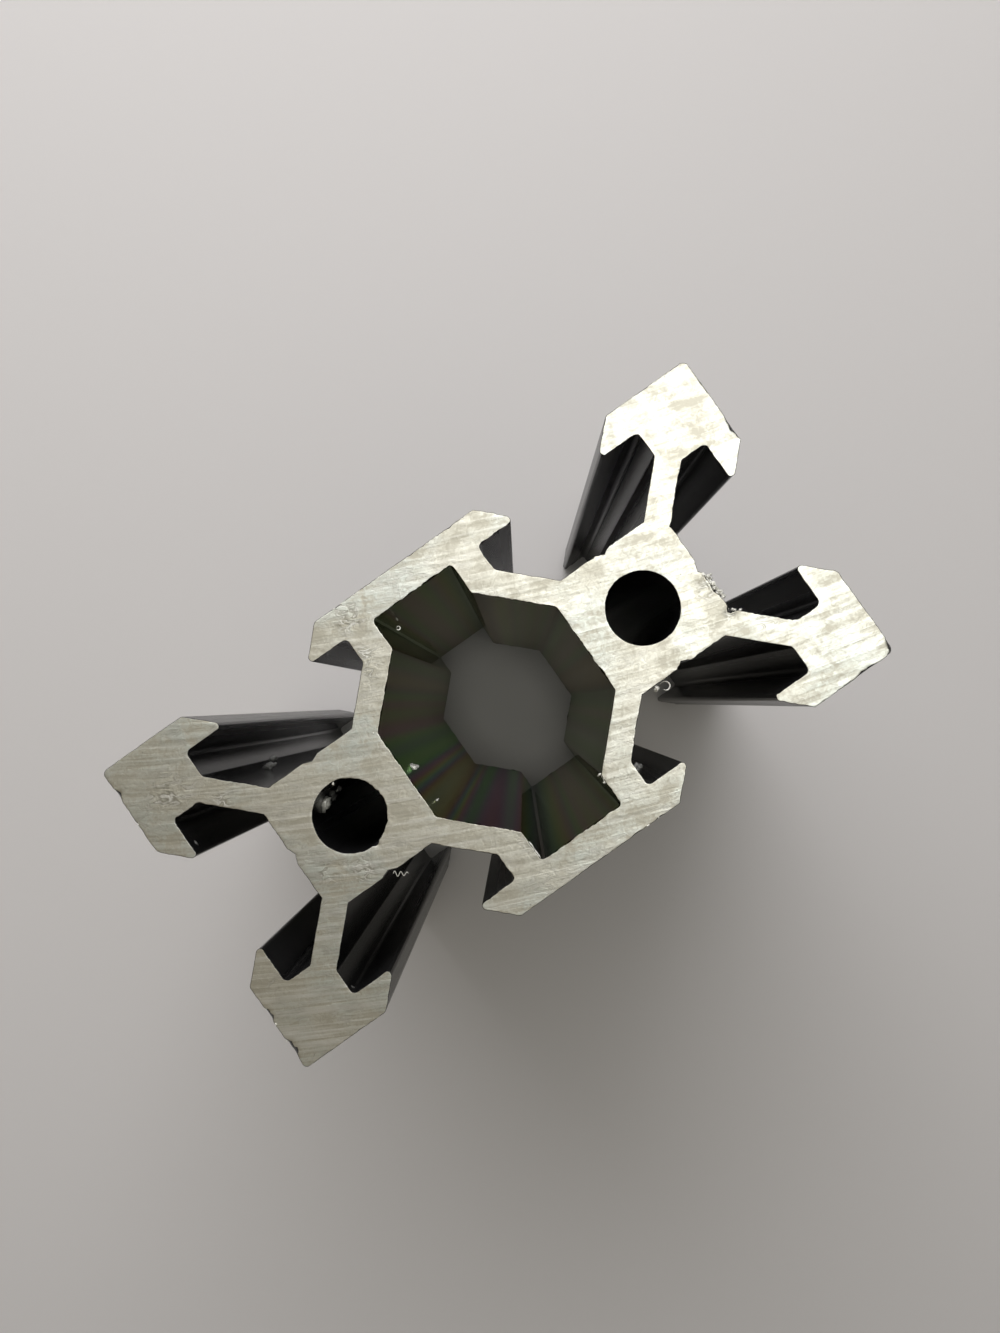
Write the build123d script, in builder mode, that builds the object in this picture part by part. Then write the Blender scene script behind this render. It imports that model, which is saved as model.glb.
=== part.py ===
"""A short length of double-width V-slot aluminium extrusion, standing on one sawn end.

The section is a row of square cells along X. Each cell has a solid core with a screw bore,
carried by four diagonal webs, and a slot in each of its outer faces. Between two cells lies
an eight-sided hollow. All sizes are in millimetres. The origin is the middle of the lower
sawn end, +Z runs up the length, and the wide faces look along -Y and +Y.
"""

import math
import os

from build123d import *

# Overall sizes
CELL = 20.0
CELL_COUNT = 2
LENGTH = 50.0

# Slot: a V mouth, a short straight throat between two lips, and a wider channel behind them
MOUTH_WIDTH = 9.16
THROAT_WIDTH = 6.25
THROAT_LAND = 0.345
CHANNEL_WIDTH = 11.0

# Shallow guide groove along the middle of each slot's floor
GROOVE_WIDTH = 1.0
GROOVE_DEPTH = 0.2

# Core, webs and the walls round the hollow
CORE_WIDTH = 7.8
BORE_DIAMETER = 4.2
WEB_THICKNESS = 1.5
HOLLOW_FACE_WALL = 1.8
HOLLOW_SIDE_WALL = 1.8

# Radii that the die leaves on the section's corners
OUTER_CORNER_RADIUS = 0.35
MOUTH_EDGE_RADIUS = 0.3
LIP_TIP_RADIUS = 0.2
CHANNEL_CORNER_RADIUS = 0.3
HOLLOW_CORNER_RADIUS = 0.25

# Distances that follow, from the middle of a cell
HALF_CELL = CELL / 2
CORE_FACE = CORE_WIDTH / 2
WEB_OFFSET = WEB_THICKNESS / math.sqrt(2)
CHANNEL_SIDE = CHANNEL_WIDTH / 2
MOUTH_DEPTH = (MOUTH_WIDTH - THROAT_WIDTH) / 2
LIP_UNDERSIDE = HALF_CELL - MOUTH_DEPTH - THROAT_LAND
PROFILE_WIDTH = CELL * CELL_COUNT
END_CELL_X = (PROFILE_WIDTH - CELL) / 2

# A lip's tip has two rounded corners on its short land, so the land limits their radius
LIP_ROUNDING = min(LIP_TIP_RADIUS, 0.6 * THROAT_LAND)

# Half of a slot, from the middle of its floor out to the middle of its mouth.
# The webs lie along the cell's diagonals, so their faces are WEB_OFFSET from them.
SLOT_POINTS = [
    (0, CORE_FACE - GROOVE_DEPTH),
    (GROOVE_WIDTH / 2, CORE_FACE),
    (CORE_FACE - WEB_OFFSET, CORE_FACE),
    (CHANNEL_SIDE, CHANNEL_SIDE + WEB_OFFSET),
    (CHANNEL_SIDE, LIP_UNDERSIDE),
    (THROAT_WIDTH / 2, LIP_UNDERSIDE),
    (THROAT_WIDTH / 2, HALF_CELL - MOUTH_DEPTH),
    (MOUTH_WIDTH / 2, HALF_CELL),
    (0, HALF_CELL),
]

# A quarter of the hollow, from the middle of its outer wall round to the middle of a core
HOLLOW_TOP = HALF_CELL - HOLLOW_FACE_WALL
HOLLOW_SIDE = HALF_CELL - CHANNEL_SIDE - HOLLOW_SIDE_WALL
HOLLOW_REACH = HALF_CELL - CORE_FACE
WEB_LINE = HALF_CELL - WEB_OFFSET
HOLLOW_POINTS = [
    (0, HOLLOW_TOP),
    (HOLLOW_SIDE, HOLLOW_TOP),
    (HOLLOW_SIDE, WEB_LINE - HOLLOW_SIDE),
    (HOLLOW_REACH, WEB_LINE - HOLLOW_REACH),
    (HOLLOW_REACH, 0),
]


def at(value, target):
    """Whether a corner's coordinate lies at a target, on either side of zero."""
    return abs(abs(value) - target) < 1e-4


# One slot, open towards +Y, drawn about its cell's middle
with BuildSketch() as slot:
    with BuildLine():
        Polyline(*SLOT_POINTS)
        mirror(about=Plane.YZ)
    make_face()
    fillet([v for v in slot.vertices() if at(v.X, CHANNEL_SIDE)], CHANNEL_CORNER_RADIUS)
    fillet([v for v in slot.vertices() if at(v.X, THROAT_WIDTH / 2)], LIP_ROUNDING)

# The hollow between two cells, drawn about its own middle
with BuildSketch() as hollow:
    with BuildLine():
        Polyline(*HOLLOW_POINTS)
        mirror(about=Plane.YZ)
        mirror(about=Plane.XZ)
    make_face()
    fillet(hollow.vertices(), HOLLOW_CORNER_RADIUS)

# The whole section
with BuildSketch() as section:
    Rectangle(PROFILE_WIDTH, CELL)
    with GridLocations(CELL, 0, CELL_COUNT, 1):
        Circle(BORE_DIAMETER / 2, mode=Mode.SUBTRACT)
        add(slot.sketch, mode=Mode.SUBTRACT)
        add(slot.sketch, rotation=180, mode=Mode.SUBTRACT)
    with Locations((END_CELL_X, 0)):
        add(slot.sketch, rotation=-90, mode=Mode.SUBTRACT)
    with Locations((-END_CELL_X, 0)):
        add(slot.sketch, rotation=90, mode=Mode.SUBTRACT)
    with GridLocations(CELL, 0, CELL_COUNT - 1, 1):
        add(hollow.sketch, mode=Mode.SUBTRACT)
    # A mouth's edge lies on one outer face of the section, and an outer corner on two
    faces_met = [at(v.X, PROFILE_WIDTH / 2) + at(v.Y, HALF_CELL) for v in section.vertices()]
    mouth_edges = [v for v, met in zip(section.vertices(), faces_met) if met == 1]
    fillet(mouth_edges, MOUTH_EDGE_RADIUS)
    on_narrow_face = section.vertices().filter_by(lambda v: at(v.X, PROFILE_WIDTH / 2))
    fillet(on_narrow_face.filter_by(lambda v: at(v.Y, HALF_CELL)), OUTER_CORNER_RADIUS)

with BuildPart() as extrusion:
    add(section.sketch)
    extrude(amount=LENGTH)

extrusion.part.label = "extrusion_bar"
os.makedirs("parts", exist_ok=True)
export_step(extrusion.part, "parts/extrusion_bar.step")
print("section", section.sketch.area, "mm2", "volume", extrusion.part.volume, "mm3")
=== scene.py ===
"""Dresses a short length of V-slot aluminium extrusion that stands on one sawn end.

The bar is one closed mesh: black anodised walls, and two bare ends with the arcs of the saw blade,
torn edges and burrs. Crumbs and curls of swarf still cling to it. Sizes are in metres.
"""

import math

import bpy
import numpy as np
from bpy.props import FloatProperty, FloatVectorProperty, PointerProperty
from mathutils import Matrix, Vector
from mathutils.geometry import delaunay_2d_cdt


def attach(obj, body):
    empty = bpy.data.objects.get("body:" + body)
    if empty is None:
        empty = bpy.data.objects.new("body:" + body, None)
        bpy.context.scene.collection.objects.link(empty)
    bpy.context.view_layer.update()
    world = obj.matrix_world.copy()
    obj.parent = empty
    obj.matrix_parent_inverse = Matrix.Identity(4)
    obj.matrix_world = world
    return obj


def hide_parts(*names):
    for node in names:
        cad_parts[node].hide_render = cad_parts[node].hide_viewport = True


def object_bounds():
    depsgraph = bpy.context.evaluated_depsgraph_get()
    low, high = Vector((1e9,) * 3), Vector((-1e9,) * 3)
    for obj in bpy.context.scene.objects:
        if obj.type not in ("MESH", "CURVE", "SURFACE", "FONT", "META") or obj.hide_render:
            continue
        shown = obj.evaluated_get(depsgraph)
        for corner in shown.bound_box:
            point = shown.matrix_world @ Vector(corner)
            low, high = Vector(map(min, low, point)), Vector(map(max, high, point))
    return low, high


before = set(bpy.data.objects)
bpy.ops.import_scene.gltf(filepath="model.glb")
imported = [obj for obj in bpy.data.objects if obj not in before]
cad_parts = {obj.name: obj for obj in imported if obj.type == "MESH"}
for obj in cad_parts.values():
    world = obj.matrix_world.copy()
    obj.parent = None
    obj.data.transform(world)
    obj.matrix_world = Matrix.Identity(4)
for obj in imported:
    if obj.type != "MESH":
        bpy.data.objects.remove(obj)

bl_info = {
    "name": "Sawn V-slot extrusion",
    "version": (1, 0, 0),
    "blender": (4, 5, 0),
    "location": "3D View > Sidebar > Extrusion",
    "description": "Builds a dressed length of aluminium extrusion, its swarf and a plain stage",
    "category": "Object",
}

MM = 0.001
CAD_NODE = "extrusion_bar"
CAD_LOW, CAD_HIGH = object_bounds()

# The photograph's camera: its image size and focal length in pixels, and where it stood
PHOTO_WIDTH = 1000
PHOTO_HEIGHT = 1333
PHOTO_FOCAL = 1043
SENSOR_LONG_SIDE = 36.0
EYE = Vector((1.41, -0.29, 108.09)) * MM
AIM = Vector((1.62, 1.94, 50.0)) * MM
PHOTO_TOP_HEADING = math.radians(54.7)

# Dents and bites in the upper end's edge, in millimetres: place, reach along the edge, depth
NICKS = (
    ((20.0, 5.3), 0.75, 0.22),
    ((20.0, 4.0), 0.35, 0.12),
    ((19.9, -9.65), 0.55, 0.22),
    ((18.0, -10.0), 0.60, 0.12),
    ((-20.0, 8.4), 0.40, 0.18),
    ((-20.0, -6.4), 0.40, 0.24),
    ((-20.0, -8.7), 0.65, 0.27),
    ((13.9, -2.95), 0.30, 0.28),
    ((13.9, -0.05), 0.20, 0.20),
    ((-9.7, -2.1), 0.25, 0.14),
    ((13.9, -1.2), 0.90, 0.16),
)

# Places where the blade tore the upper end's face: place, reach, how far the metal is pulled down
TORN = (
    ((13.5, -1.2), 1.10, 0.05),
    ((13.7, -3.1), 0.60, 0.06),
    ((-12.6, -2.0), 1.20, 0.0),
    ((-11.2, -3.0), 1.10, 0.0),
    ((-17.6, 6.8), 1.80, 0.0),
    ((-15.6, 4.6), 1.30, 0.0),
    ((15.3, -4.3), 1.10, 0.01),
    ((-4.5, 6.6), 1.60, 0.0),
    ((-3.6, 9.0), 1.40, 0.0),
    ((5.2, -7.2), 1.20, 0.0),
)

# Crumbs of swarf, in millimetres: middle and radius
CRUMBS = (
    ((-11.38, 1.40, 47.0), 0.38),
    ((-10.70, 1.70, 45.2), 0.10),
    ((-9.75, 2.02, 49.85), 0.15),
    ((-5.98, 0.20, 46.3), 0.28),
    ((-6.00, -2.23, 45.9), 0.14),
    ((-6.30, 3.00, 49.9), 0.09),
    ((-20.0, 6.40, 49.9), 0.13),
    ((-20.0, -7.05, 49.9), 0.12),
    ((-20.0, -8.15, 49.9), 0.08),
    ((-15.2, -10.0, 49.9), 0.08),
    ((8.02, -4.12, 49.8), 0.17),
    ((-1.75, 7.95, 46.0), 0.10),
)

# Chips that lie in the slots and bores, dark grey for painted shade, in millimetres: middle and radius
CHIPS = (
    ((-11.05, 1.60, 45.8), 0.42),
    ((-10.60, 1.72, 44.8), 0.16),
    ((-14.38, 5.72, 40.3), 0.55),
    ((-13.95, 5.98, 40.0), 0.24),
    ((-18.20, 3.76, 49.1), 0.20),
    ((4.60, -7.05, 49.85), 0.26),
    ((-15.50, -7.90, 49.3), 0.22),
    ((5.70, -3.95, 49.7), 0.26),
)

# Bands of torn flakes along an edge of the upper end: first and last point, spread, and how many
FLAKES = (
    ((13.86, -0.35), (14.02, -2.10), 0.10, 34),
    ((13.90, -2.70), (14.20, -3.30), 0.08, 6),
    ((-5.50, 10.0), (-1.50, 10.0), 0.02, 10),
    ((5.50, -10.0), (1.80, -10.0), 0.02, 9),
    ((2.65, -6.75), (2.70, -6.15), 0.03, 5),
    ((-13.9, -3.1), (-13.2, -3.9), 0.02, 4),
)

# Torn ribbons along an edge of the upper end: first and last point, and how far they reach out
TORN_RIBBONS = (
    ((13.85, -0.30), (14.0, -2.20), 0.16),
    ((-2.65, -8.05), (-2.65, -6.90), 0.10),
    ((2.65, -6.70), (2.75, -6.15), 0.12),
)

# Curled chips that hang on an edge of the upper end: middle, radius and turns
CURLS = (
    ((8.5, -4.28), 0.27, 0.80),
    ((-1.8, 7.0), 0.11, 0.85),
)

# A wavy hair of metal that hangs on the core's edge: middle, length, height and number of waves
HAIR = ((-9.55, -4.28), 0.85, 0.16, 2.5)

# Places on the bar's texture map, as left, lower, width and height: the walls unrolled, and the two ends
WALL_ISLANDS = ((0.01, 0.51, 0.98, 0.11), (0.01, 0.63, 0.98, 0.11))
UPPER_ISLAND = (0.01, 0.01, 0.98, 0.49)
LOWER_ISLAND = (0.01, 0.755, 0.47, 0.235)

# Where the hollow's film shows its colours most, across and through the bar
BAND_MIDDLE = (-4.3 * MM, -2.8 * MM)

# Where the blade's lines are clearest, on the lower left head
RULED_MIDDLE = (-17 * MM, -7 * MM, 50 * MM)

# Distances between the points of the sawn faces, across the blade's arcs and along them
UPPER_SPACING = (0.06 * MM, 0.15 * MM)
LOWER_SPACING = (0.14 * MM, 0.5 * MM)

# Depth of a sawn face's mean below the end, and how far its own points keep from its rim
FACE_DEPTH = 0.035 * MM
RIM_CLEARANCE = 0.055 * MM

# Height of the crumpling where the metal is torn
TORN_RELIEF = 0.007 * MM

# The thinnest that a chip in the slots may be, as a share of its size
CHIP_FLATTEST = 0.12

# Refractive index of the clear film in the hollow
FILM_INDEX = 1.65

# How many times longer than wide the die's lines are
DIE_STRETCH = 250

# Seeds of what is random, and the steps between those of two bands or ribbons
UPPER_SEED = 11
LOWER_SEED = 57
DIE_SEED = 400
CRUMB_SEED = 80
CHIP_SEED = 180
FLAKE_SEED = 200
FLAKE_SEED_STEP = 50
RIBBON_SEED = 120
RIBBON_SEED_STEP = 5
CURL_SEED = 160


# Settings


def colour_setting(name, description, default):
    """A colour that a user may change."""
    return FloatVectorProperty(
        name=name, description=description, subtype="COLOR", size=3, min=0, max=1, default=default
    )


def length_setting(name, description, default):
    """A length that a user may change."""
    return FloatProperty(name=name, description=description, unit="LENGTH", default=default)


def power_setting(name, description, default):
    """A lamp's power in watts, which a user may change."""
    return FloatProperty(name=name, description=description, unit="POWER", min=0, default=default)


class SawnBarSettings(bpy.types.PropertyGroup):
    """Sizes of what the saw and the die left on the bar."""

    blade_radius: length_setting(
        "Blade radius", "Radius of the circular blade whose arcs cross the sawn ends", 125 * MM
    )
    mark_heading: FloatProperty(
        name="Mark heading",
        description="Direction of the arcs at the middle of the end, from the width of the bar",
        subtype="ANGLE",
        default=math.radians(-23),
    )
    mark_depth: length_setting(
        "Mark depth", "Height between the crests and the hollows of the saw marks", 0.03 * MM
    )
    ragged: length_setting(
        "Ragged edge", "How far the sawn edge wanders to either side of the clean outline", 0.085 * MM
    )
    outline_step: length_setting("Outline step", "Distance between points along the outline", 0.11 * MM)
    die_line_depth: length_setting(
        "Die line depth", "Depth of the lengthwise lines that the die drew along the walls", 0.0006 * MM
    )


class FinishSettings(bpy.types.PropertyGroup):
    """Colours of the metal."""

    anodised: colour_setting("Anodised", "The dyed black film on the walls", (0.009, 0.009, 0.0095))
    hollow_film: colour_setting(
        "Film in the hollow",
        "The thin film inside the closed hollow, which is greener than outside",
        (0.057, 0.057, 0.033),
    )
    film_drift: FloatProperty(
        name="Film drift",
        description="Strength of the thickness colours inside the hollow",
        subtype="FACTOR",
        min=0,
        max=1,
        default=0.55,
    )
    bare: colour_setting("Bare metal", "The freshly sawn aluminium", (0.88, 0.865, 0.76))
    bare_cool: colour_setting(
        "Bare metal, cool", "The sawn aluminium in the patches that look cooler", (0.83, 0.87, 0.80)
    )
    bare_dull: colour_setting(
        "Smeared metal", "The sawn aluminium where the blade dragged and dulled it", (0.60, 0.575, 0.48)
    )


class StageSettings(bpy.types.PropertyGroup):
    """The floor and the lights."""

    floor: colour_setting("Floor", "Colour of the plain floor", (0.650, 0.632, 0.634))
    floor_size: length_setting("Floor size", "Width of the square floor", 3.0)
    room_right: colour_setting(
        "Room, right side", "Light from the side that the bar's right end points at", (0.090, 0.090, 0.090)
    )
    room_left: colour_setting(
        "Room, left side",
        "Light from the side that the bar's left end points at, stronger and warmer",
        (0.204, 0.184, 0.149),
    )
    window_power: power_setting("Window power", "Large soft lamp beyond the photo's top", 0.37)
    fill_power: power_setting("Fill power", "Lower lamp that lights the floor and is not mirrored", 0.68)
    zenith_power: power_setting("Zenith power", "Soft lamp above the bar, which lights its hollow", 0.40)
    glint_power: power_setting("Glint power", "Soft lamp mirrored on the right of the sawn end", 0.37)


# Arrays


def smooth_noise(across, along, seed):
    """Random heights from -1 to 1 on a unit lattice, blended between its corners by a smooth step."""
    size = 256
    heights = np.random.default_rng(seed).uniform(-1, 1, (size, size))
    row, column = np.floor(across).astype(int), np.floor(along).astype(int)
    u, v = across - row, along - column
    u, v = u * u * (3 - 2 * u), v * v * (3 - 2 * v)
    row, column = row % size, column % size
    below, beside = (row + 1) % size, (column + 1) % size
    near = heights[row, column] * (1 - u) + heights[below, column] * u
    far = heights[row, beside] * (1 - u) + heights[below, beside] * u
    return near * (1 - v) + far * v


def line_noise(run, length, lane, seed):
    """Random heights from -1 to 1 along a line, whose features are about as long as length."""
    return smooth_noise(run / length, np.full(len(run), lane), seed)


def merged(points, places=7):
    """Each place once, and the number of each point's place among them."""
    found, numbers = np.unique(points.round(places), axis=0, return_inverse=True)
    return found, numbers.reshape(-1)


def section_loops(node):
    """The closed outlines of the section, widest first: an array of points each, with the metal on the left.

    They are the edges that only one triangle of the upper end face has. A loop is read off by doubling:
    each pass looks up the points that lie twice as far along.
    """
    mesh = node.data
    mesh.calc_loop_triangles()
    corners = np.empty(len(mesh.loop_triangles) * 3, np.int32)
    mesh.loop_triangles.foreach_get("vertices", corners)
    points = np.empty(len(mesh.vertices) * 3)
    mesh.vertices.foreach_get("co", points)
    points, numbers = merged(points.reshape(-1, 3))
    triangles = numbers[corners].reshape(-1, 3)
    end = triangles[np.all(points[triangles][:, :, 2] > points[:, 2].max() - 1e-6, axis=1)]
    edges = np.concatenate((end, np.roll(end, -1, axis=1))).reshape(2, -1).T
    count = len(points)
    lone = ~np.isin(edges[:, 0] * count + edges[:, 1], edges[:, 1] * count + edges[:, 0])
    follow = np.full(count, -1)
    follow[edges[lone, 0]] = edges[lone, 1]
    left, loops = follow >= 0, []
    while left.any():
        run, leap = np.flatnonzero(left)[:1], follow.copy()
        while not np.any(leap[run] == run[0]):
            run = np.concatenate((run, leap[run]))
            leap = np.where(leap >= 0, leap[leap], -1)
        run = np.concatenate((run, leap[run]))
        length = 1 + np.argmax(run[1:] == run[0])
        loops.append(points[run[:length], :2])
        left[run[:length]] = False
    return sorted(loops, key=lambda loop: -np.ptp(loop[:, 0]))


def divided(loop, step):
    """The loop with every edge cut into equal pieces no longer than step."""
    along = np.roll(loop, -1, axis=0) - loop
    length = np.hypot(*along.T)
    pieces = np.maximum(1, np.ceil(length / step - 1e-6)).astype(int)
    edge = np.repeat(np.arange(len(loop)), pieces)
    place = np.arange(pieces.sum()) - np.repeat(np.cumsum(pieces) - pieces, pieces)
    return loop[edge] + along[edge] * (place / pieces[edge])[:, None]


def inward(loop):
    """At each point, the direction into the metal, as long as moves both its edges by a distance of 1."""
    ahead = np.roll(loop, -1, axis=0) - loop
    ahead /= np.hypot(*ahead.T)[:, None]
    behind = np.roll(ahead, 1, axis=0)
    both = np.stack((-ahead[:, 1] - behind[:, 1], ahead[:, 0] + behind[:, 0]), axis=1)
    return both * 2 / np.maximum((both**2).sum(axis=1), 1.0)[:, None]


def in_island(u, v, island):
    """Fractions across and up an island, as places on the texture map."""
    left, lower, width, height = island
    return np.stack((left + width * u, lower + height * v), axis=-1)


def end_map(corners, island):
    """Texture places of an end's triangles: a plan of the section."""
    spread = CAD_HIGH - CAD_LOW
    u = (corners[..., 0] - CAD_LOW.x) / spread.x
    v = (corners[..., 1] - CAD_LOW.y) / spread.y
    return in_island(u, v, island).reshape(-1, 2)


def next_round(counts):
    """For points that lie loop after loop, the number of the point that comes next round its loop."""
    ends = np.cumsum(counts)
    ahead = np.arange(ends[-1]) + 1
    ahead[ends - 1] = ends - counts
    return ahead


def unrolled(loops, heights):
    """Texture places of the walls' faces: the outlines rolled out one after another, against height.

    They fill two rows, one island each.
    """
    length = np.concatenate([np.hypot(*(np.roll(loop, -1, axis=0) - loop).T) for loop in loops])
    stop = 2 * np.cumsum(length) / length.sum()
    start = stop - 2 * length / length.sum()
    row = (start >= 1).astype(int)
    u = np.stack((start - row, stop - row, stop - row, start - row), axis=-1).clip(0, 1)
    rise = (heights - heights.min()) / np.ptp(heights)
    ahead = next_round([len(loop) for loop in loops])
    v = np.stack((rise[:-1], rise[:-1][:, ahead], rise[1:][:, ahead], rise[1:]), axis=-1)
    u = np.broadcast_to(u, v.shape)
    first, second = (in_island(u, v, island) for island in WALL_ISLANDS)
    return np.where((row == 1)[:, None, None], second, first).reshape(-1, 2)


def bake_map(made, places):
    """Gives a piece the texture map that its finish is stored on when it leaves for another program."""
    layer = made.data.uv_layers.new(name="OFBake")
    layer.uv.foreach_set("vector", places.astype(np.float32).ravel())


def closed_surface(grid, first, last):
    """A surface on a grid of rows, each a closed ring, that is drawn to a point at both ends."""
    rows, columns = grid.shape[:2]
    points = np.concatenate((grid.reshape(-1, 3), [first, last]))
    row, column = np.meshgrid(np.arange(rows - 1), np.arange(columns), indexing="ij")
    here, beside = row * columns + column, row * columns + (column + 1) % columns
    quads = np.stack((here, here + columns, beside + columns, beside), axis=-1).reshape(-1, 4)
    ring = np.arange(columns)
    after = (ring + 1) % columns
    top = np.column_stack((np.full(columns, rows * columns), ring, after))
    foot = (rows - 1) * columns
    bottom = np.column_stack((np.full(columns, rows * columns + 1), after + foot, ring + foot))
    return points, quads, np.concatenate((top, bottom))


def joined(surfaces):
    """Several surfaces as the points, quads and triangles of one mesh, kept within the bar's box."""
    counts = np.cumsum([0] + [len(points) for points, _, _ in surfaces])
    points = np.concatenate([points for points, _, _ in surfaces])
    quads = np.concatenate([quads + count for (_, quads, _), count in zip(surfaces, counts)])
    triangles = np.concatenate([triangles + count for (_, _, triangles), count in zip(surfaces, counts)])
    return points.clip(np.array(CAD_LOW), np.array(CAD_HIGH)), quads, triangles


def mesh_of(name, points, quads, triangles, materials, worn):
    """A mesh of whole arrays: its points, its faces of four and three corners, and each face's material."""
    mesh = bpy.data.meshes.new(name)
    corners = np.concatenate((quads.ravel(), triangles.ravel())).astype(np.int32)
    sides = np.repeat((4, 3), (len(quads), len(triangles)))
    mesh.vertices.add(len(points))
    mesh.vertices.foreach_set("co", points.astype(np.float32).ravel())
    mesh.loops.add(len(corners))
    mesh.loops.foreach_set("vertex_index", corners)
    mesh.polygons.add(len(sides))
    mesh.polygons.foreach_set("loop_start", np.cumsum(sides) - sides)
    mesh.polygons.foreach_set("material_index", worn.astype(np.int32))
    mesh.polygons.foreach_set("use_smooth", np.ones(len(sides), bool))
    for material in materials:
        mesh.materials.append(material)
    mesh.update(calc_edges=True)
    mesh.validate()
    made = bpy.data.objects.new(name, mesh)
    bpy.context.scene.collection.objects.link(made)
    return made


# Node trees


def set_inputs(node, inputs):
    """Sets a node's inputs: one given as a socket is linked."""
    for name, value in inputs.items():
        if isinstance(value, bpy.types.NodeSocket):
            node.id_data.links.new(value, node.inputs[name])
        else:
            node.inputs[name].default_value = value


def put(tree, kind, inputs=None, **settings):
    """Adds a node with its inputs and settings."""
    made = tree.nodes.new("ShaderNode" + kind)
    for name, value in settings.items():
        setattr(made, name, value)
    set_inputs(made, inputs or {})
    return made


def maths(tree, operation, a, b=0.0, c=0.0, clamp=False):
    """One sum of up to three numbers."""
    return put(tree, "Math", {0: a, 1: b, 2: c}, operation=operation, use_clamp=clamp).outputs[0]


def vectors(tree, operation, a, b=(0, 0, 0), result="Vector"):
    """One sum of up to two vectors, whose result may be a number."""
    return put(tree, "VectorMath", {0: a, 1: b}, operation=operation).outputs[result]


def blend(tree, share, a, b):
    """A colour from a to b."""
    return put(tree, "Mix", {"Factor": share, 6: a, 7: b}, data_type="RGBA").outputs[2]


def multiplied(tree, a, b):
    """One colour times another."""
    return put(tree, "Mix", {"Factor": 1.0, 6: a, 7: b}, data_type="RGBA", blend_type="MULTIPLY").outputs[2]


def ramp(tree, value, low, high, to_low=0.0, to_high=1.0):
    """A number brought from one range to another, and held at its ends."""
    inputs = {"Value": value, 1: low, 2: high, 3: to_low, 4: to_high}
    return put(tree, "MapRange", inputs).outputs[0]


def noise(tree, place, size, detail, distortion=0.0, roughness=0.5):
    """Noise from 0 to 1, whose features are about as large as size."""
    inputs = {"Vector": place, "Scale": 1 / size, "Detail": detail, "Roughness": roughness}
    return put(tree, "TexNoise", inputs | {"Distortion": distortion}).outputs["Fac"]


def effect(name, numbers, result):
    """A new node group that makes one number of a vector and some numbers: its tree and both end nodes."""
    tree = bpy.data.node_groups.new(name, "ShaderNodeTree")
    tree.interface.new_socket("Vector", in_out="INPUT", socket_type="NodeSocketVector")
    for number in numbers:
        tree.interface.new_socket(number, in_out="INPUT", socket_type="NodeSocketFloat")
    tree.interface.new_socket(result, in_out="OUTPUT", socket_type="NodeSocketFloat")
    return tree, tree.nodes.new("NodeGroupInput"), tree.nodes.new("NodeGroupOutput")


def streaks_group():
    """Lines drawn along Y of the given vector: noise that runs fast across X and slowly along Y."""
    tree, given, result = effect("Streaks", ("Width", "Length", "Wander"), "Height")
    wide = maths(tree, "DIVIDE", 1.0, given.outputs["Width"])
    long = maths(tree, "DIVIDE", 1.0, given.outputs["Length"])
    scale = put(tree, "CombineXYZ", {"X": wide, "Y": long, "Z": long}).outputs[0]
    place = vectors(tree, "MULTIPLY", given.outputs["Vector"], scale)
    set_inputs(result, {"Height": noise(tree, place, 1.0, 3.0, given.outputs["Wander"])})


def specks_group():
    """Scattered spots: 1 within a small distance of the middle of some cells, and 0 elsewhere."""
    tree, given, result = effect("Specks", ("Spacing", "Size", "Share"), "Mask")
    scale = maths(tree, "DIVIDE", 1.0, given.outputs["Spacing"])
    cells = put(tree, "TexVoronoi", {"Vector": given.outputs["Vector"], "Scale": scale})
    lot = put(tree, "SeparateColor", {0: cells.outputs["Color"]}).outputs[0]
    chosen = maths(tree, "LESS_THAN", lot, given.outputs["Share"])
    spot = maths(tree, "LESS_THAN", cells.outputs["Distance"], given.outputs["Size"])
    set_inputs(result, {"Mask": maths(tree, "MULTIPLY", chosen, spot)})


def material(name):
    """A new material, its tree and its Principled shader."""
    made = bpy.data.materials.new(name)
    made.use_nodes = True
    return made, made.node_tree, made.node_tree.nodes["Principled BSDF"]


def streaks(tree, place, width, length, wander):
    """Lines along Y of the given vector, from 0 to 1."""
    inputs = {"Vector": place, "Width": width, "Length": length, "Wander": wander}
    return put(tree, "Group", inputs, node_tree=bpy.data.node_groups["Streaks"]).outputs["Height"]


def speckled(tree, place, colour, spacing, size, share, strength, tone):
    """The colour with small spots of another tone on it."""
    inputs = {"Vector": place, "Spacing": spacing, "Size": size, "Share": share}
    mask = put(tree, "Group", inputs, node_tree=bpy.data.node_groups["Specks"]).outputs["Mask"]
    return blend(tree, maths(tree, "MULTIPLY", mask, strength), colour, (*tone, 1))


def film_colours(tree, thickness, strength):
    """Colours of light that a clear film sends back, from its thickness in micrometres.

    Each of red, green and blue is a cosine of twice the film's optical thickness over its wavelength.
    """
    path = maths(tree, "MULTIPLY", thickness, 2 * FILM_INDEX * 2 * math.pi)
    half = maths(tree, "MULTIPLY", strength, 0.5)
    parts = {}
    for socket, wavelength in (("Red", 0.62), ("Green", 0.54), ("Blue", 0.46)):
        wave = maths(tree, "COSINE", maths(tree, "DIVIDE", path, wavelength))
        parts[socket] = maths(tree, "MULTIPLY_ADD", wave, half, maths(tree, "SUBTRACT", 1.0, half))
    return put(tree, "CombineColor", parts).outputs[0]


def along_the_bar(tree, place):
    """Object coordinates with Z shortened, so that a pattern is drawn out along the bar."""
    apart = put(tree, "SeparateXYZ", {0: place})
    height = maths(tree, "MULTIPLY", apart.outputs["Z"], 1 / DIE_STRETCH)
    parts = {"X": apart.outputs["X"], "Y": apart.outputs["Y"], "Z": height}
    return put(tree, "CombineXYZ", parts).outputs[0]


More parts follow.
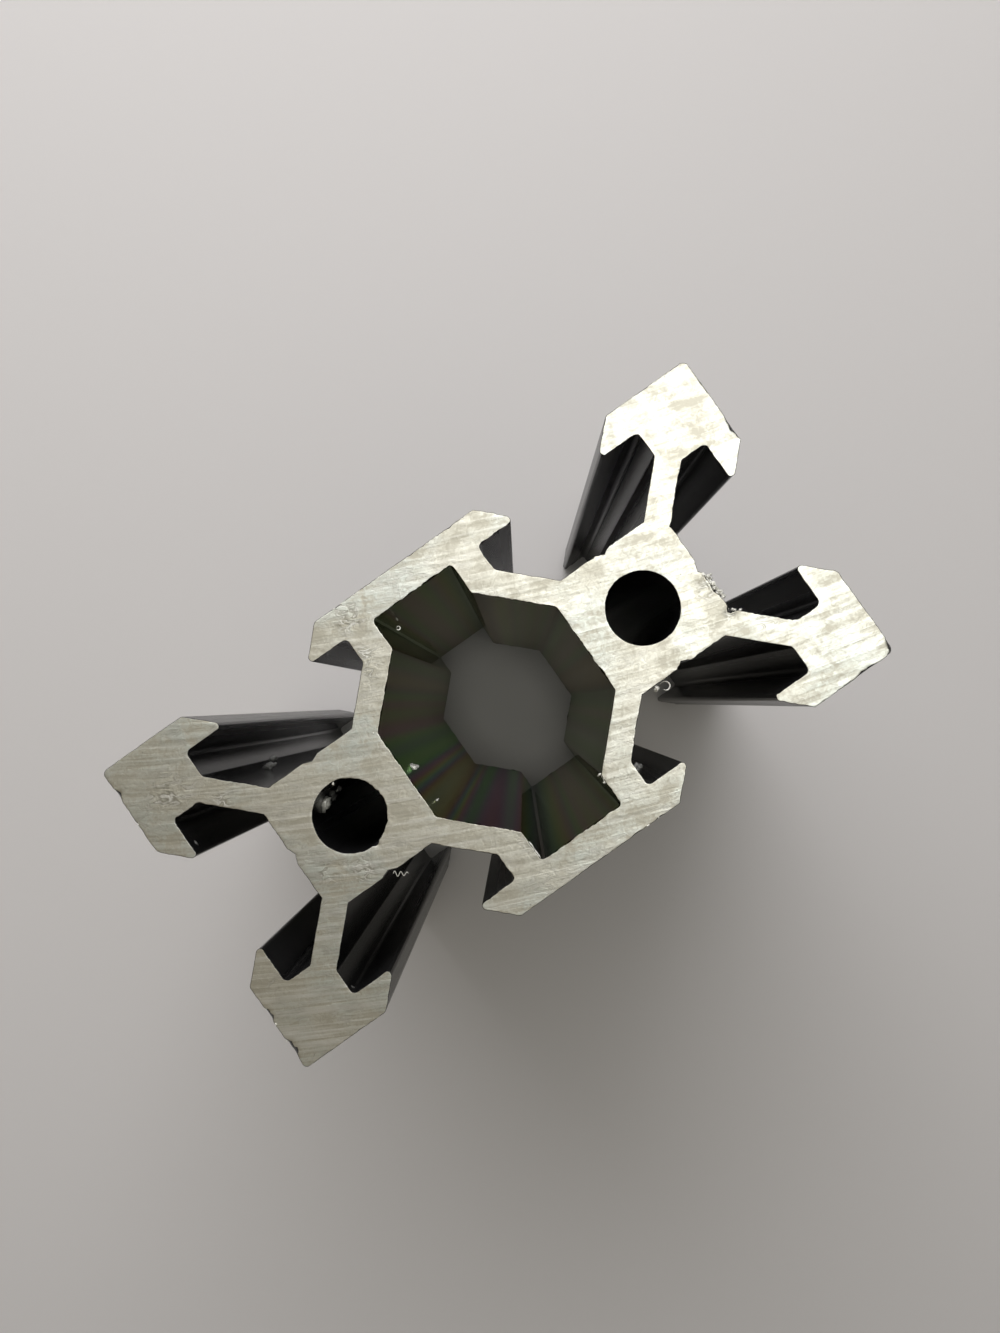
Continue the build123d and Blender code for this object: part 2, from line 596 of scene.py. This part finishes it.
def drawn_film(tree, across, dark, light, roughness):
    """Colour and roughness of both black walls: soft lines that the die drew along the bar."""
    lines = noise(tree, across, 1.6 * MM, 1.0, roughness=0.4)
    colour = blend(tree, ramp(tree, lines, 0.35, 0.75), (*dark, 1), (*light, 1))
    return colour, ramp(tree, lines, 0.3, 0.7, *roughness)


def anodised_material(finish):
    """Satin black film, with the die's lines along the bar and a few pale specks of dust."""
    made, tree, shader = material("anodised black")
    place = put(tree, "TexCoord").outputs["Object"]
    black = np.array(finish.anodised)
    across = along_the_bar(tree, place)
    colour, roughness = drawn_film(tree, across, black, 1.5 * black, (0.23, 0.29))
    dusty = speckled(tree, place, colour, 2.6 * MM, 0.035, 0.3, 0.2, (0.4, 0.4, 0.37))
    set_inputs(shader, {"Base Color": dusty, "Roughness": roughness, "IOR": 1.42})
    return made


def hollow_material(finish):
    """The thinner, greener film inside the closed hollow, with bands of thickness colours along the bar.

    The bands are strongest on the walls near BAND_MIDDLE, and fade with distance from it.
    """
    made, tree, shader = material("anodised hollow")
    place = put(tree, "TexCoord").outputs["Object"]
    base = np.array(finish.hollow_film)
    across = along_the_bar(tree, place)
    colour, roughness = drawn_film(tree, across, base, 1.3 * base, (0.16, 0.22))
    away = vectors(tree, "DISTANCE", across, (*BAND_MIDDLE, 0), "Value")
    strength = maths(tree, "MULTIPLY", ramp(tree, away, 3.5 * MM, 8 * MM, 1.0, 0.3), finish.film_drift)
    thickness = ramp(tree, noise(tree, across, 4.5 * MM, 1.0), 0.3, 0.7, 0.15, 0.75)
    film = film_colours(tree, thickness, strength)
    coloured = multiplied(tree, colour, film)
    dusty = speckled(tree, place, coloured, 1.3 * MM, 0.05, 0.25, 0.8, (0.7, 0.7, 0.64))
    tint = multiplied(tree, film, (0.97, 1.0, 0.70, 1))
    inputs = {"Base Color": dusty, "Roughness": roughness, "Specular Tint": tint, "Metallic": 0.9}
    set_inputs(shader, inputs)
    return made


def round_the_blade(tree, place, bar):
    """Object coordinates as the distance from the blade's axle, the way round it, and the height."""
    offset = vectors(tree, "SUBTRACT", place, (*blade_centre(bar), 0))
    flat = vectors(tree, "MULTIPLY", offset, (1, 1, 0))
    distance = vectors(tree, "LENGTH", flat, result="Value")
    apart = put(tree, "SeparateXYZ", {0: offset})
    angle = maths(tree, "ARCTAN2", apart.outputs["Y"], apart.outputs["X"])
    along = maths(tree, "MULTIPLY", angle, bar.blade_radius)
    return put(tree, "CombineXYZ", {"X": distance, "Y": along, "Z": apart.outputs["Z"]}).outputs[0]


def weighted(tree, parts):
    """The sum of several numbers, each with its weight."""
    total = 0.0
    for value, weight in parts:
        total = maths(tree, "MULTIPLY_ADD", value, weight, total)
    return total


def sawn_material(finish, bar):
    """Bare metal under the arcs of the blade: a granular ground with fine bright lines, and torn places with
    painted highlights and shade.
    """
    made, tree, shader = material("sawn aluminium")
    place = put(tree, "TexCoord").outputs["Object"]
    torn = put(tree, "Attribute", attribute_name="torn").outputs["Fac"]
    grain = noise(tree, place, 0.35 * MM, 3.0, 1.4)
    patches = noise(tree, place, 1.6 * MM, 4.0, 0.6)
    hue = noise(tree, place, 4 * MM, 2.0)

    # The blade's lines, at three widths; the ruled ones are clearest near RULED_MIDDLE
    arcs = round_the_blade(tree, place, bar)
    fine = streaks(tree, arcs, 0.09 * MM, 6.0 * MM, 0.3)
    broad = streaks(tree, arcs, 0.38 * MM, 3.5 * MM, 0.8)
    ruled = streaks(tree, arcs, 0.24 * MM, 9.0 * MM, 0.15)
    away = vectors(tree, "DISTANCE", place, RULED_MIDDLE, "Value")
    clear = ramp(tree, away, 5 * MM, 13 * MM, 1.0, 0.3)
    lines = maths(tree, "MULTIPLY", maths(tree, "SUBTRACT", ruled, 0.5), clear)
    scratches = maths(tree, "MULTIPLY", ramp(tree, ruled, 0.52, 0.62, 0.0, 0.55), clear)

    # Torn metal: raised threads where the noise is near its middle, with sunk furrows beside them. Their
    # colours paint a highlight on the threads and a shade in the furrows
    stretched = vectors(tree, "MULTIPLY", arcs, (1, 0.4, 0))
    worms = noise(tree, stretched, 0.5 * MM, 1.5, 0.8)
    from_line = maths(tree, "ABSOLUTE", maths(tree, "SUBTRACT", worms, 0.5))
    frayed = maths(tree, "ADD", torn, ramp(tree, patches, 0.46, 0.60, 0.0, 0.45), clamp=True)
    threads_and_highlight = maths(tree, "MULTIPLY", ramp(tree, from_line, 0.015, 0.045, 0.75, 0.0), frayed)
    furrows_and_shade = maths(tree, "MULTIPLY", ramp(tree, from_line, 0.05, 0.11, 1.0, 0.0), frayed)
    crumpled = maths(tree, "MULTIPLY", grain, maths(tree, "MULTIPLY_ADD", torn, 0.4, 0.35))

    # Colour and roughness
    ground = weighted(tree, ((fine, 0.10), (broad, 0.22), (lines, 0.52), (grain, 0.24), (patches, 0.44)))
    pale = blend(tree, ramp(tree, hue, 0.4, 0.6), (*finish.bare, 1), (*finish.bare_cool, 1))
    colour = blend(tree, ramp(tree, ground, 0.42, 0.56), (*finish.bare_dull, 1), pale)
    # Painted shade in the torn metal's sunk furrows
    furrow_painted_shade = (*(0.6 * np.array(finish.bare_dull)), 1)
    colour = blend(tree, maths(tree, "MULTIPLY", furrows_and_shade, 0.75), colour, furrow_painted_shade)
    # Pale scratches along the ruled lines, and a painted highlight on the raised torn threads
    colour = blend(tree, maths(tree, "MAXIMUM", scratches, threads_and_highlight), colour, (0.97, 0.96, 0.90, 1))
    colour = speckled(tree, place, colour, 0.8 * MM, 0.07, 0.22, 0.45, (0.25, 0.24, 0.19))
    roughness = ramp(tree, ground, 0.42, 0.58, 0.45, 0.35)

    # Relief
    parts = ((fine, 0.20), (broad, 0.55), (lines, 0.35), (patches, 0.45))
    height = weighted(tree, (*parts, (crumpled, 1.0), (threads_and_highlight, 0.18), (furrows_and_shade, -0.22)))
    bump = put(tree, "Bump", {"Height": height, "Strength": 0.45, "Distance": 0.05 * MM}).outputs[0]
    set_inputs(shader, {"Base Color": colour, "Roughness": roughness, "Normal": bump, "Metallic": 1.0})
    return made


def swarf_material(finish):
    """Torn aluminium: bright, with fine crumpling."""
    made, tree, shader = material("swarf aluminium")
    place = put(tree, "TexCoord").outputs["Object"]
    crumple = noise(tree, place, 0.09 * MM, 3.0)
    colour = blend(tree, crumple, (*finish.bare, 1), (0.97, 0.97, 0.95, 1))
    roughness = ramp(tree, crumple, 0.3, 0.7, 0.5, 0.28)
    bump = put(tree, "Bump", {"Height": crumple, "Strength": 0.6, "Distance": 0.02 * MM}).outputs[0]
    set_inputs(shader, {"Base Color": colour, "Roughness": roughness, "Normal": bump, "Metallic": 0.3})
    return made


def shaded_chip_material():
    """Swarf chips in painted shade: nearly black to mid grey in place of bright metal, and dull."""
    made, tree, shader = material("chips in painted shade")
    place = put(tree, "TexCoord").outputs["Object"]
    crumple = noise(tree, place, 0.12 * MM, 3.0)
    colour = blend(tree, ramp(tree, crumple, 0.35, 0.65), (0.05, 0.05, 0.05, 1), (0.20, 0.20, 0.19, 1))
    set_inputs(shader, {"Base Color": colour, "Roughness": ramp(tree, crumple, 0.3, 0.7, 0.6, 0.35)})
    return made


# The bar


def blade_centre(bar):
    """Where the blade's axle stood, seen along the bar: off to the left of the marks' direction."""
    return (-bar.blade_radius * math.sin(bar.mark_heading), bar.blade_radius * math.cos(bar.mark_heading))


def blade_arcs(points, bar):
    """How far each point lies beyond the blade's rim, and how far round it."""
    x, y = (points - blade_centre(bar)).T
    return np.hypot(x, y) - bar.blade_radius, np.arctan2(y, x) * bar.blade_radius


def saw_relief(points, bar, seed):
    """Height of the sawn face about its mean: arcs of four widths about the blade's axle.

    The crests are sharp, where the noise is near zero. Patches of dragged metal lie across them.
    """
    across, along = blade_arcs(points, bar)
    across, along = across / MM, along / MM
    crests = 1 - 2 * np.abs(smooth_noise(across / 0.21, along / 6.5, seed))
    fine = smooth_noise(across / 0.10, along / 2.0, seed + 1)
    middle = smooth_noise(across / 0.34, along / 4.5, seed + 2)
    broad = smooth_noise(across / 1.2, along / 6.0, seed + 3)
    dragged = smooth_noise(across / 0.5, along / 0.7, seed + 4)
    patches = np.clip(0.5 + 1.2 * smooth_noise(across / 2.5, along / 4.0, seed + 5), 0, 1)
    lines = 0.07 * crests + 0.06 * fine + 0.17 * middle + 0.17 * broad
    return bar.mark_depth * (lines * (1.1 - 0.6 * patches) + 0.18 * patches * dragged)


def torn_places(points, seed):
    """How torn each point is, from 0 to 1, and the height of the pulled and crumpled metal there."""
    x, y = points.T / MM
    ragged = 1 + 0.5 * smooth_noise(x / 0.45, y / 0.45, seed + 2)
    crumple = smooth_noise(x / 0.16, y / 0.16, seed)
    share, height = np.zeros(len(points)), np.zeros(len(points))
    for place, reach, drop in TORN:
        near = np.clip((1 - np.hypot(x - place[0], y - place[1]) / reach) * ragged, 0, 1)
        near = near * near * (3 - 2 * near)
        share = np.maximum(share, near)
        height -= MM * near * drop
    return share, height + TORN_RELIEF * share * crumple


def nick_depth(outline, seed):
    """How far dents and bites eat into the edge at each point of the outline."""
    x, y = outline.T / MM
    rough = 0.8 + 0.35 * smooth_noise(x / 0.16, y / 0.16, seed)
    depth = np.zeros(len(outline))
    for place, reach, most in NICKS:
        near = np.clip(1 - np.hypot(x - place[0], y - place[1]) / reach, 0, 1)
        depth += MM * most * np.sqrt(near) * rough
    return depth


def distance_round(loop):
    """How far along the loop each point lies, in millimetres."""
    step = np.hypot(*(np.roll(loop, -1, axis=0) - loop).T)
    return (np.cumsum(step) - step) / MM


def edge_wander(loop, bar, seed):
    """How far the sawn edge stands inward of the clean outline, by noise at three lengths along it."""
    run = distance_round(loop)
    jagged = line_noise(run, 0.16, 0.5, seed)
    bites = line_noise(run, 0.55, 3.5, seed + 1)
    where = np.clip(0.5 + 0.9 * line_noise(run, 3.1, 7.5, seed + 2), 0.2, 1.4)
    return bar.ragged * where * (0.6 * jagged + 0.7 * bites)


def sawn_end(loops, bar, seed, spacing, damaged):
    """One sawn end, looking up: rings that lead over the torn edge, and the face's points and triangles.

    Each ring is the outline moved into the metal by one distance and set at one depth below the end.
    The face's own points lie on the blade's arcs, close together across them and far apart along them.
    It also gives how torn each point of the last ring and of the face is.
    """
    outline = np.concatenate(loops)
    normals = np.concatenate([inward(loop) for loop in loops])
    wander = np.concatenate([edge_wander(loop, bar, seed + 10 * k) for k, loop in enumerate(loops)])
    lines = np.concatenate([die_lines(loop, bar, DIE_SEED + k) for k, loop in enumerate(loops)])
    nick = nick_depth(outline, seed) if damaged else np.zeros(len(outline))
    rings = [
        (lines, 0.9 * MM + nick),
        (lines, 0.2 * MM + 0.5 * nick),
        (lines + 0.35 * wander + 0.55 * nick, 0.1 * MM + 0.35 * nick),
        (wander + 0.95 * nick, 0.040 * MM + 0.2 * np.maximum(wander, 0) + 0.2 * nick),
        (wander + 0.025 * MM + nick, 0.036 * MM - 0.08 * np.abs(wander) + 0.1 * nick),
        (0.09 * MM + 0.5 * np.maximum(wander, 0) + 1.1 * nick, 0.036 * MM + 0.05 * nick),
    ]
    levels = [np.column_stack((outline + normals * inset[:, None], -depth)) for inset, depth in rings]
    rim = levels[-1]
    rim[:, 2] += 0.7 * saw_relief(rim[:, :2], bar, seed)
    inside = face_points(rim[:, :2], normals, bar, spacing)
    face = np.column_stack((inside, saw_relief(inside, bar, seed) - FACE_DEPTH))
    torn = np.zeros(len(rim) + len(face))
    if damaged:
        torn, sunk = torn_places(np.concatenate((rim[:, :2], inside)), seed)
        rim[:, 2] += sunk[: len(rim)]
        face[:, 2] += sunk[len(rim) :]
    triangles = triangulated(rim[:, :2], normals, inside, [len(loop) for loop in loops])
    return levels, face, triangles, torn


def die_lines(loop, bar, seed):
    """Depth of the lines that the die drew along the walls, by noise along the outline."""
    run = distance_round(loop)
    narrow, wide = line_noise(run, 0.5, 0.5, seed), line_noise(run, 1.7, 2.5, seed)
    return bar.die_line_depth * (1 + 0.6 * narrow + 0.4 * wide)


def face_points(rim, facing, bar, spacing):
    """Points on a lattice of the blade's arcs that lie in the metal and clear of its rim.

    Every other arc has its points half a step further along.
    """
    across_step, along_step = spacing
    across, along = blade_arcs(rim, bar)
    rows = np.arange(across.min(), across.max(), across_step)
    columns = np.arange(along.min(), along.max(), along_step)
    row, column = np.meshgrid(rows, columns, indexing="ij")
    column = column + 0.5 * along_step * (np.arange(len(rows)) % 2)[:, None]
    angle = column / bar.blade_radius
    reach = bar.blade_radius + row
    points = np.stack((reach * np.cos(angle), reach * np.sin(angle)), axis=-1).reshape(-1, 2)
    points += blade_centre(bar)
    low, high = rim.min(axis=0), rim.max(axis=0)
    points = points[np.all((points > low) & (points < high), axis=1)]
    return points[depth_in(points, rim, facing) > RIM_CLEARANCE]


def depth_in(points, rim, facing):
    """How far each point lies from the nearest point of the rim, negative in a void."""
    rim = rim / MM
    depths = []
    for part in np.array_split(points / MM, 1 + len(points) // 4000):
        apart = (part**2).sum(axis=1)[:, None] + (rim**2).sum(axis=1) - 2 * part @ rim.T
        near = apart.argmin(axis=1)
        ahead = ((part - rim[near]) * facing[near]).sum(axis=1)
        depths.append(np.hypot(*(part - rim[near]).T) * np.sign(ahead))
    return np.concatenate(depths) * MM


def triangulated(rim, facing, inside, counts):
    """Triangles between the rims' loops and the points within them, numbered with the rim first.

    It is the Delaunay triangulation that keeps each loop's edges, without the triangles that lie in a void.
    Those join points of the rim alone.
    """
    places = np.concatenate((rim, inside)) / MM
    edges = np.column_stack((np.arange(len(rim)), next_round(counts)))
    found = delaunay_2d_cdt(places.tolist(), edges.tolist(), [], 0, 1e-7, True)
    source = np.array([given[0] if given else -1 for given in found[3]])
    triangles = source[np.array(found[2])]
    kept = triangles.max(axis=1) >= len(rim)
    doubtful = np.flatnonzero(~kept)
    middles = rim[triangles[doubtful]].mean(axis=1)
    kept[doubtful] = depth_in(middles, rim, facing) > 0
    return triangles[kept]


def bar_mesh(bar, finish):
    """The whole bar: the walls carried from one sawn end to the other, closed by the two sawn faces."""
    loops = [divided(loop, bar.outline_step) for loop in section_loops(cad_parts[CAD_NODE])]
    top, bottom = CAD_HIGH.z, CAD_LOW.z
    upper, upper_face, upper_triangles, torn = sawn_end(loops, bar, UPPER_SEED, UPPER_SPACING, True)
    lower, lower_face, lower_triangles, _ = sawn_end(loops, bar, LOWER_SEED, LOWER_SPACING, False)
    flip = np.array((1.0, 1.0, -1.0))
    rings = [level * flip + (0, 0, bottom) for level in reversed(lower)]
    rings += [level + (0, 0, top) for level in upper]
    points = np.concatenate((*rings, lower_face * flip + (0, 0, bottom), upper_face + (0, 0, top)))
    points = points.clip(np.array(CAD_LOW), np.array(CAD_HIGH))

    # Walls
    count = len(rings[0])
    floors = np.arange(len(rings) - 1)[:, None] * count
    here = floors + np.arange(count)
    ahead = floors + next_round([len(loop) for loop in loops])
    quads = np.stack((here, ahead, ahead + count, here + count), axis=-1)

    # Sawn faces: an end numbers its rim's points first, and the bar numbers all its rings' points first
    last_ring = (len(rings) - 1) * count
    upper_shift = last_ring + len(lower_face)
    low = lower_triangles + np.where(lower_triangles < count, 0, last_ring)
    high = upper_triangles + np.where(upper_triangles < count, last_ring, upper_shift)
    triangles = np.concatenate((low[:, ::-1], high))

    # Which of the three materials each face has; the second loop is the hollow's
    outside, in_hollow, sawn = 0, 1, 2
    walls = np.full((len(rings) - 1, count), outside)
    walls[:, len(loops[0]) : len(loops[0]) + len(loops[1])] = in_hollow
    walls[[0, -1]] = sawn
    worn = np.concatenate((walls.ravel(), np.full(len(triangles), sawn)))

    materials = [anodised_material(finish), hollow_material(finish), sawn_material(finish, bar)]
    made = mesh_of("sawn_extrusion", points, quads.reshape(-1, 4), triangles, materials, worn)
    share = made.data.attributes.new("torn", "FLOAT", "POINT")
    intact = np.zeros(last_ring + len(lower_face))
    places_torn = np.concatenate((intact[:last_ring], torn[:count], intact[last_ring:], torn[count:]))
    share.data.foreach_set("value", places_torn.astype(np.float32))
    wall_map = unrolled(loops, points[: len(rings) * count, 2].reshape(len(rings), count))
    lower_map = end_map(points[low[:, ::-1]], LOWER_ISLAND)
    upper_map = end_map(points[high], UPPER_ISLAND)
    bake_map(made, np.concatenate((wall_map, lower_map, upper_map)))
    return made


# The swarf


def crumb(middle, radius, seed, flattest=0.35):
    """A torn crumb: a ball with a random radius at each point, flattened and turned at random."""
    rows, columns = 9, 14
    draw = np.random.default_rng(seed)
    down = np.pi * np.arange(1, rows + 1) / (rows + 1)
    around = 2 * np.pi * np.arange(columns) / columns
    polar, round_it = np.meshgrid(down, around, indexing="ij")
    x, y = np.sin(polar) * np.cos(round_it), np.sin(polar) * np.sin(round_it)
    size = 1 + draw.uniform(-0.45, 0.45, (rows, columns, 1))
    squash = draw.uniform(flattest, 1.1, 3)
    turn = np.array(Matrix.Rotation(draw.uniform(0, 2 * np.pi), 3, Vector(draw.normal(size=3))))
    ball = np.stack((x, y, np.cos(polar)), axis=-1) * size
    pole = np.array((0, 0, 1))
    shapes = [(shape * squash) @ turn.T * radius * MM for shape in (ball, pole, -pole)]
    return closed_surface(*(shape + np.array(middle) * MM for shape in shapes))


def ribbon(path, side, half_width, thickness):
    """A thin closed strip carried along a path: its section is a flat oval that lies along side."""
    columns = 8
    ahead = np.gradient(path, axis=0)
    ahead /= np.linalg.norm(ahead, axis=1)[:, None]
    side = side - ahead * (side * ahead).sum(axis=1)[:, None]
    side /= np.linalg.norm(side, axis=1)[:, None]
    up = np.cross(side, ahead)
    angle = 2 * np.pi * np.arange(columns) / columns
    across = side[:, None] * (half_width[:, None] * np.cos(angle))[..., None]
    through = up[:, None] * (thickness / 2 * np.sin(angle))[None, :, None]
    grid = path[:, None] + across + through
    return closed_surface(grid[1:-1], path[0], path[-1])


def torn_ribbon(first, last, reach, seed):
    """A strip of torn metal along an edge: it wanders out over the void, and twists as it goes."""
    count = 60
    share = np.linspace(0, 1, count)[:, None]
    start, stop = np.array((*first, 0)), np.array((*last, 0))
    along = stop - start
    length = np.hypot(*along[:2])
    out = np.array((-along[1], along[0], 0)) / length
    run = share[:, 0] * length
    lengths = (0.3, 0.2, 0.25, 0.12)
    swing, rise, roll, fray = (line_noise(run, scale, 0.5, seed + k) for k, scale in enumerate(lengths))
    away = reach * (0.25 + 0.5 * swing + 0.25 * fray)
    path = start + share * along + out * away[:, None]
    path[:, 2] = CAD_HIGH.z / MM - 0.12 + 0.07 * rise
    twist = 2.2 * roll
    side = out * np.cos(twist)[:, None] + np.array((0, 0, 1.0)) * np.sin(twist)[:, None]
    half_width = reach * (0.45 + 0.35 * fray)
    return ribbon(path * MM, side, half_width * MM, 0.03 * MM)


def flakes(first, last, spread, count, seed):
    """Torn flakes strewn along a line near the upper end, each a small crumb."""
    draw = np.random.default_rng(seed)
    first, last = np.array(first), np.array(last)
    made = []
    for k in range(count):
        x, y = first + (last - first) * (k + draw.uniform(0, 1)) / count + draw.normal(0, spread, 2)
        middle = (x, y, CAD_HIGH.z / MM - draw.uniform(0.05, 0.3))
        made.append(crumb(middle, draw.uniform(0.05, 0.16), seed + k, 0.2))
    return made


def curl(middle, radius, turns, seed):
    """A curled chip: a strip that goes round an upright axis while it widens and sinks."""
    count = 48
    share = np.linspace(0, 1, count)
    start = np.random.default_rng(seed).uniform(0, 2 * np.pi)
    angle = start + 2 * np.pi * turns * share
    reach = radius * (0.75 + 0.35 * share)
    path = np.stack((reach * np.cos(angle), reach * np.sin(angle), 0.12 - 0.3 * share * turns), axis=-1)
    path += (*middle, CAD_HIGH.z / MM - 0.2)
    side = np.stack((0.4 * np.cos(angle), 0.4 * np.sin(angle), np.ones(count)), axis=-1)
    half_width = 0.08 * np.sin(np.pi * np.clip(share, 0.08, 0.92))
    return ribbon(path * MM, side, half_width * MM, 0.05 * MM)


def hair(middle, length, height, waves):
    """A thin wavy strip: a sine along the photo's width, whose waves grow smaller along it."""
    count = 64
    share = np.linspace(0, 1, count)
    right = np.array((math.sin(PHOTO_TOP_HEADING), -math.cos(PHOTO_TOP_HEADING)))
    up = np.array((math.cos(PHOTO_TOP_HEADING), math.sin(PHOTO_TOP_HEADING)))
    wave = height * (1 - 0.5 * share) * np.sin(2 * np.pi * waves * share)
    place = np.array(middle) + np.outer(length * (share - 0.5), right) + np.outer(wave, up)
    path = np.column_stack((place, CAD_HIGH.z / MM - 0.15 - 0.1 * share))
    side = np.broadcast_to((0.3, 0.3, 1.0), path.shape)
    return ribbon(path * MM, side, np.full(count, 0.03) * MM, 0.04 * MM)


def swarf_piece(name, surfaces, finish):
    """Several chips as one piece that stays on the bar."""
    points, quads, triangles = joined(surfaces)
    made = mesh_of(name, points, quads, triangles, [finish], np.zeros(len(quads) + len(triangles)))
    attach(made, "root")


# The stage


def area_light(name, place, target, size, power, colour):
    """A square lamp at a place, turned to a target."""
    lamp = bpy.data.lights.new(name, "AREA")
    lamp.size = size
    lamp.energy = power
    lamp.color = colour
    made = bpy.data.objects.new(name, lamp)
    made.location = place
    made.rotation_euler = (Vector(target) - Vector(place)).to_track_quat("-Z", "Y").to_euler()
    bpy.context.scene.collection.objects.link(made)
    return made


def photo_camera():
    """The photograph's camera: it looks from EYE to AIM, with PHOTO_TOP_HEADING upwards."""
    lens = bpy.data.cameras.new("camera")
    lens.sensor_width = SENSOR_LONG_SIDE
    lens.lens = PHOTO_FOCAL * SENSOR_LONG_SIDE / max(PHOTO_WIDTH, PHOTO_HEIGHT)
    lens.clip_start = 1 * MM
    lens.clip_end = 20.0
    back = (EYE - AIM).normalized()
    heading = Vector((math.cos(PHOTO_TOP_HEADING), math.sin(PHOTO_TOP_HEADING), 0))
    right = heading.cross(back).normalized()
    up = back.cross(right)
    made = bpy.data.objects.new("camera", lens)
    made.matrix_world = Matrix.LocRotScale(EYE, Matrix((right, up, back)).transposed(), None)
    bpy.context.scene.collection.objects.link(made)
    bpy.context.scene.camera = made


def heading_place(heading, distance, height):
    """A place round the bar, at a heading in degrees from the photo's top edge towards its left."""
    angle = PHOTO_TOP_HEADING + math.radians(heading)
    return (distance * math.cos(angle), distance * math.sin(angle), height)


def room(stage):
    """The light from all round, which goes softly from the left side's to the right side's."""
    world = bpy.data.worlds.new("room")
    world.use_nodes = True
    tree = world.node_tree
    direction = put(tree, "TexCoord").outputs["Generated"]
    side = vectors(tree, "DOT_PRODUCT", direction, (1, 0.15, 0), "Value")
    colour = blend(tree, ramp(tree, side, -0.5, 0.5), (*stage.room_left, 1), (*stage.room_right, 1))
    set_inputs(tree.nodes["Background"], {"Color": colour})
    return world


def stage_floor(stage):
    """A plain square floor at the height that the bar stands on."""
    half = stage.floor_size / 2
    corners = np.array(((-half, -half, 0), (half, -half, 0), (half, half, 0), (-half, half, 0)))
    finish, _, shader = material("plain floor")
    set_inputs(shader, {"Base Color": (*stage.floor, 1), "Roughness": 0.65, "Specular IOR Level": 0.3})
    floor = mesh_of("floor", corners, np.arange(4)[None], np.zeros((0, 3), int), [finish], np.zeros(1))


# Operators


class EXTRUSION_OT_sawn_bar(bpy.types.Operator):
    """Build the bar over its CAD node"""

    bl_idname = "extrusion.sawn_bar"
    bl_label = "Sawn bar"

    def execute(self, context):
        streaks_group()
        specks_group()
        bar = bar_mesh(context.scene.extrusion_bar, context.scene.extrusion_finish)
        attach(bar, "root")
        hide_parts(CAD_NODE)
        return {"FINISHED"}


class EXTRUSION_OT_swarf(bpy.types.Operator):
    """Scatter the crumbs, curls and torn ribbons that the saw left on the upper end"""

    bl_idname = "extrusion.swarf"
    bl_label = "Swarf"

    def execute(self, context):
        finish = swarf_material(context.scene.extrusion_finish)
        crumbs = [crumb(*ball, CRUMB_SEED + k) for k, ball in enumerate(CRUMBS)]
        for k, band in enumerate(FLAKES):
            crumbs += flakes(*band, FLAKE_SEED + FLAKE_SEED_STEP * k)
        chips = [crumb(*chip, CHIP_SEED + k, CHIP_FLATTEST) for k, chip in enumerate(CHIPS)]
        ribbons = []
        for k, tear in enumerate(TORN_RIBBONS):
            ribbons.append(torn_ribbon(*tear, RIBBON_SEED + RIBBON_SEED_STEP * k))
        curls = [curl(*chip, CURL_SEED + k) for k, chip in enumerate(CURLS)] + [hair(*HAIR)]
        swarf_piece("swarf_crumbs", crumbs, finish)
        # The chips in the slots and bores are dark grey, a painted shade
        swarf_piece("shaded_chips", chips, shaded_chip_material())
        swarf_piece("torn_burrs", ribbons, finish)
        swarf_piece("swarf_curls", curls, finish)
        return {"FINISHED"}


class EXTRUSION_OT_stage(bpy.types.Operator):
    """Lay the floor, hang the lights and set up the photograph's camera"""

    bl_idname = "extrusion.stage"
    bl_label = "Stage"

    def execute(self, context):
        stage = context.scene.extrusion_stage
        stage_floor(stage)
        photo_camera()
        foot = (0, 0, 0)
        window_place = heading_place(4, 0.18, 0.26)
        area_light("window", window_place, foot, 0.30, stage.window_power, (1.0, 0.99, 0.98))
        fill_place = heading_place(12, 0.26, 0.16)
        fill = area_light("fill", fill_place, foot, 0.30, stage.fill_power, (1.0, 0.99, 0.99))
        fill.visible_glossy = False
        glint_place = heading_place(-62, 0.15, 0.45)
        glint = area_light("glint", glint_place, (0, 0, 0.05), 0.24, stage.glint_power, (1.0, 1.0, 0.97))
        glint.visible_diffuse = False
        zenith = area_light("zenith", (0, 0, 0.60), foot, 0.08, stage.zenith_power, (1.0, 1.0, 0.90))
        zenith.visible_glossy = False
        context.scene.world = room(stage)
        context.scene.view_settings.view_transform = "Standard"
        return {"FINISHED"}


class EXTRUSION_PT_panel(bpy.types.Panel):
    """Everything that this script builds"""

    bl_idname = "EXTRUSION_PT_panel"
    bl_label = "Extrusion"
    bl_space_type = "VIEW_3D"
    bl_region_type = "UI"
    bl_category = "Extrusion"

    def draw(self, context):
        scene = context.scene
        for operator, settings in (
            (EXTRUSION_OT_sawn_bar, (scene.extrusion_bar, scene.extrusion_finish)),
            (EXTRUSION_OT_swarf, ()),
            (EXTRUSION_OT_stage, (scene.extrusion_stage,)),
        ):
            box = self.layout.box()
            box.operator(operator.bl_idname)
            for group_of_settings in settings:
                for name in group_of_settings.__annotations__:
                    box.prop(group_of_settings, name)


CLASSES = (
    SawnBarSettings,
    FinishSettings,
    StageSettings,
    EXTRUSION_OT_sawn_bar,
    EXTRUSION_OT_swarf,
    EXTRUSION_OT_stage,
    EXTRUSION_PT_panel,
)


def register():
    for made in CLASSES:
        bpy.utils.register_class(made)
    bpy.types.Scene.extrusion_bar = PointerProperty(type=SawnBarSettings)
    bpy.types.Scene.extrusion_finish = PointerProperty(type=FinishSettings)
    bpy.types.Scene.extrusion_stage = PointerProperty(type=StageSettings)


def unregister():
    del bpy.types.Scene.extrusion_stage
    del bpy.types.Scene.extrusion_finish
    del bpy.types.Scene.extrusion_bar
    for made in reversed(CLASSES):
        bpy.utils.unregister_class(made)


def main():
    register()
    bpy.ops.extrusion.sawn_bar()
    bpy.ops.extrusion.swarf()
    bpy.ops.extrusion.stage()


if __name__ == "__main__":
    main()
